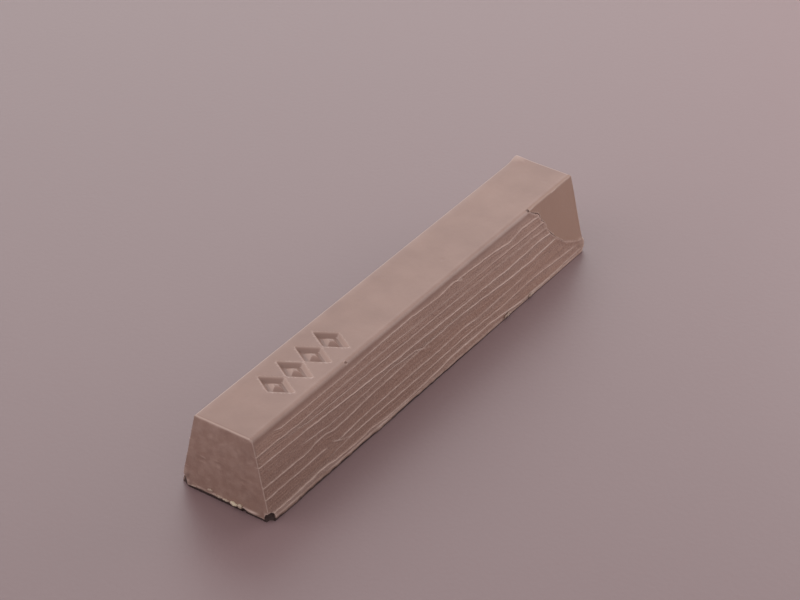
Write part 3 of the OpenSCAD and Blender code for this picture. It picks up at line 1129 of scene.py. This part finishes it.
class Finish:
    """A material, and the one way to add nodes to it"""

    def __init__(self, name):
        self.material = bpy.data.materials.new(name)
        self.material.use_nodes = True
        self.tree = self.material.node_tree
        self.shader = self.tree.nodes["Principled BSDF"]

    def plug(self, socket, value):
        if isinstance(value, Value):
            self.tree.links.new(value.socket, socket)
        else:
            socket.default_value = value

    def node(self, kind, settings, inputs, output=0):
        node = self.tree.nodes.new("ShaderNode" + kind)
        for name, setting in settings.items():
            setattr(node, name, setting)
        for name, value in inputs.items():
            self.plug(node.inputs[name], value)
        return Value(self, node.outputs[output])

    def math(self, operation, one, other):
        return self.node("Math", {"operation": operation}, {0: one, 1: other})

    def place(self):
        """Object coordinates in millimetres"""
        coordinates = self.node("TexCoord", {}, {}, "Object")
        return self.node("Mapping", {}, {"Vector": coordinates, "Scale": [1 / MM] * 3})

    def grain(self, place, size, detail):
        """Noise from 0 to 1 whose lumps are about size millimetres wide"""
        inputs = {"Vector": place, "Scale": 1 / size, "Detail": detail, "Roughness": NOISE_ROUGHNESS}
        return self.node("TexNoise", {}, inputs)

    def pattern(self, place, size, detail, none, full):
        """Grain with more contrast: 0 where the noise is at none, and 1 where it is at full"""
        return self.spread(self.grain(place, size, detail), none, full)

    def attribute(self, name):
        return self.node("Attribute", {"attribute_name": name}, {}, "Fac")

    def spread(self, value, low, high):
        """The value mapped so that low becomes 0 and high becomes 1"""
        return self.node("MapRange", {}, {0: value, 1: low, 2: high})

    def blend(self, share, one, other):
        return self.node("Mix", {"data_type": "RGBA"}, {0: share, 6: one, 7: other}, 2)

    def bump(self, height, distance, under=None):
        inputs = {"Height": height, "Distance": distance, "Strength": 1}
        if under is not None:
            inputs["Normal"] = under
        return self.node("Bump", {}, inputs)

    def set(self, **inputs):
        for name, value in inputs.items():
            self.plug(self.shader.inputs[name.replace("_", " ")], value)


WAX_DARK = (0.238, 0.133, 0.106, 1)
WAX_LIGHT = (0.286, 0.166, 0.133, 1)
WAX_WALL = (0.325, 0.166, 0.118, 1)
WAX_PALE = (0.52, 0.362, 0.315, 1)
WAX_DEEP = (0.15, 0.078, 0.062, 1)
WAX_PATCH = (0.285, 0.158, 0.115, 1)
# Painted shade, for the chips, the crevice, the underside of the foot and the near left edge
WAX_PAINTED_SHADE = (0.030, 0.012, 0.011, 1)
CRUMB_DARK = (0.26, 0.155, 0.122, 1)
CRUMB_PINK = (0.40, 0.28, 0.23, 1)
CRUMB_CREAM = (0.62, 0.52, 0.36, 1)
FLOOR = (0.204, 0.124, 0.128, 1)
FLOOR_SHADE = tuple(0.96 * part for part in FLOOR[:3]) + (1,)

# Patterns: size in millimetres, detail, and where the noise counts as none and as full
MOTTLE = (6, 4, 0.3, 0.7)
STRATA = (1, 3, 0.3, 0.7)
SCUFFS = (1.3, 4, 0.42, 0.72)
STAINS = (2.2, 4, 0.5, 0.25)
CRUMB_TONE = (0.4, 3, 0.35, 0.65)
# Grains: size in millimetres and detail
SPECKS = (0.22, 2)
WAX_LUMPS = (1.4, 3)
CRUMB_GRAIN = (0.15, 3)
FLOOR_CLOUDS = (60, 2)
FLOOR_GRAIN = (0.8, 2)
NOISE_ROUGHNESS = 0.55
# Where specks count as none and as full, pale ones first
PALE_SPECKS = (0.52, 0.78)
DEEP_SPECKS = (0.48, 0.27)
# How the strata are drawn out: along the bar, from layer to layer and across the bar
STRATA_STRETCH = (0.05, 6, 0.3)


def wax_finish():
    wax = Finish("cast_wax")
    place = wax.place()
    grainy, end, painted_shade = wax.attribute("grainy"), wax.attribute("end"), wax.attribute("painted_shade")
    x, y, z = (wax.node("SeparateXYZ", {}, {"Vector": place}, axis) for axis in "XYZ")
    along, layers, across = STRATA_STRETCH
    drawn_out = {"X": x * along, "Y": wax.attribute("layer") * layers, "Z": y * across}
    strata = wax.pattern(wax.node("CombineXYZ", {}, drawn_out), *STRATA)
    mottle = wax.pattern(place, *MOTTLE)
    scuffs = wax.pattern(place, *SCUFFS)
    specks = wax.grain(place, *SPECKS)

    # Ramps over the bar, in millimetres
    crown, rim = HEIGHT / MM, CROWN_WIDTH / 2 / MM
    on_crown = wax.spread(z, crown - 0.25, crown - 0.08)
    by_right_edge = wax.spread(y, 1.05 - rim, 0.45 - rim)
    by_left_edge = wax.spread(y, rim - 1.15, rim - 0.35)
    up_end, down_end, right_of_end = wax.spread(z, 2, 12), wax.spread(z, 7, 0), wax.spread(y, 1, -6)
    to_near_end, down_wall, up_wall = wax.spread(x, 30, -40), wax.spread(z, 11, 6), wax.spread(z, 5, 12)

    # Coats of tint, one over the other: how much of each, and its colour
    colour = wax.blend(mottle, WAX_DARK, WAX_LIGHT)
    for share, tint in (
        # Painted highlight along the crown's long edges
        ((0.1 * by_right_edge + 0.05 * by_left_edge) * on_crown * (0.5 + mottle), WAX_PALE),
        (end * (0.2 + 0.3 * scuffs), WAX_LIGHT),
        (end * (0.22 * scuffs + 0.11 * up_end), WAX_PALE),
        (end * (0.16 * down_end + 0.12 * right_of_end), WAX_DEEP),
        (end * wax.pattern(place, *STAINS) * 0.3, WAX_DEEP),
        (grainy * (0.2 + 0.5 * strata), WAX_WALL),
        # Painted shade: the long walls darker towards the near end and towards the foot
        (grainy * to_near_end * down_wall * 0.38, WAX_DEEP),
        (grainy * up_wall * 0.12, WAX_PALE),
        (wax.attribute("patch") * 0.8, WAX_PATCH),
        (grainy * wax.spread(specks, *PALE_SPECKS) * 0.3, WAX_PALE),
        (grainy * wax.spread(specks, *DEEP_SPECKS) * 0.65, WAX_DEEP),
        # Painted shade in the lozenges' pits, beside the patch and on the lip's band
        (wax.attribute("hollow_shade") * 0.3, WAX_DEEP),
        # Pale crests, rims, burrs and flash, with painted highlights on edges and rims
        (wax.attribute("pale") * 0.78, WAX_PALE),
        # Painted shade in the chips, the crevice, under the foot and on the near left edge
        (painted_shade, WAX_PAINTED_SHADE),
    ):
        colour = wax.blend(share, colour, tint)
    lumps = wax.bump(wax.grain(place, *WAX_LUMPS), 0.02 * MM)
    ridges = wax.bump(strata * grainy + 0.6 * scuffs * end, 0.05 * MM, lumps)
    grain = wax.bump(specks * (0.25 + 0.75 * grainy + 0.3 * end), 0.035 * MM, ridges)
    dull = 0.43 + 0.09 * grainy + 0.06 * end + 0.35 * painted_shade
    wax.set(Base_Color=colour, Roughness=dull, Normal=grain, Specular_IOR_Level=0.5)
    return wax.material


def crumb_finish():
    flake = Finish("broken_wax")
    place = flake.place()
    tone = flake.pattern(place, *CRUMB_TONE)
    pink = flake.blend(tone, CRUMB_DARK, CRUMB_PINK)
    cream = flake.blend(tone, CRUMB_PINK, CRUMB_CREAM)
    colour = flake.blend(flake.attribute("cream"), pink, cream)
    rough = flake.bump(flake.grain(place, *CRUMB_GRAIN), 0.03 * MM)
    flake.set(Base_Color=colour, Roughness=0.6, Normal=rough)
    return flake.material


def floor_finish():
    ground = Finish("pale_floor")
    place = ground.place()
    colour = ground.blend(ground.grain(place, *FLOOR_CLOUDS), FLOOR, FLOOR_SHADE)
    rough = ground.bump(ground.grain(place, *FLOOR_GRAIN), 0.02 * MM)
    ground.set(Base_Color=colour, Roughness=0.45, Specular_IOR_Level=0.85, Normal=rough)
    return ground.material


def dress(piece, material):
    piece.data.materials.clear()
    piece.data.materials.append(material)


bar = cast_bar()
mark_surfaces(bar)
dress(bar, wax_finish())
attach(bar, "root")
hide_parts("wax_bar")

flake_finish = crumb_finish()
for node, crumbs, place_of in (
    ("near_end_crumbs", NEAR_CRUMBS, near_end_place),
    ("long_wall_crumbs", WALL_CRUMBS, long_wall_place),
):
    flakes = join([crumb(place_of(*where, reach), reach, cream) for *where, reach, cream in crumbs])
    flakes.name = flakes.data.name = node + "_flakes"
    dress(flakes, flake_finish)
    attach(flakes, "root")
    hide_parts(node)

# Stage

FLOOR_SIZE = 4
floor = add(bpy.ops.mesh.primitive_plane_add, size=FLOOR_SIZE)
floor.name = "floor"
dress(floor, floor_finish())

# Camera: focal length and sensor in millimetres, the point it looks at, and its distance and angles from
# there, in radians
FOCAL = 117
SENSOR_WIDTH = 36
TARGET = Vector((6.48, 3.7, 5.3)) * MM
DISTANCE = 381.24 * MM
AZIMUTH = 3.7519
ELEVATION = 0.6146
NEAREST_SEEN = 10 * MM

# Softboxes: azimuth and elevation in degrees, distance and size in metres, and brightness
SOFTBOXES = {
    "back_softbox": (42, 27, 0.8, 0.64, 1.52),
    "left_softbox": (140, 40, 0.9, 0.8, 1.38),
    "right_softbox": (335, 16, 0.19, 0.15, 2.5),
}
SKY_COLOUR = (1, 1, 1, 1)
SKY_STRENGTH = 0.7


def direction(azimuth, elevation):
    level = math.cos(elevation)
    return Vector((math.cos(azimuth) * level, math.sin(azimuth) * level, math.sin(elevation)))


def aim(piece, target, azimuth, elevation, distance):
    """Places a camera or lamp at this distance from the target, and turns it to face the target"""
    back = direction(azimuth, elevation)
    piece.location = target + distance * back
    piece.rotation_euler = back.to_track_quat("Z", "Y").to_euler()


camera = add(bpy.ops.object.camera_add)
aim(camera, TARGET, AZIMUTH, ELEVATION, DISTANCE)
camera.data.lens = FOCAL
camera.data.sensor_width = SENSOR_WIDTH
camera.data.clip_start = NEAREST_SEEN
bpy.context.scene.camera = camera

for name, (azimuth, elevation, distance, size, brightness) in SOFTBOXES.items():
    lamp = add(bpy.ops.object.light_add, type="AREA")
    lamp.name = name
    aim(lamp, Vector((0, 0, 0)), math.radians(azimuth), math.radians(elevation), distance)
    lamp.data.size = size
    lamp.data.energy = brightness * math.pi * size ** 2

world = bpy.data.worlds.new("studio")
bpy.context.scene.world = world
world.use_nodes = True
sky = world.node_tree.nodes["Background"]
sky.inputs["Color"].default_value = SKY_COLOUR
sky.inputs["Strength"].default_value = SKY_STRENGTH
bpy.context.scene.view_settings.view_transform = "Standard"
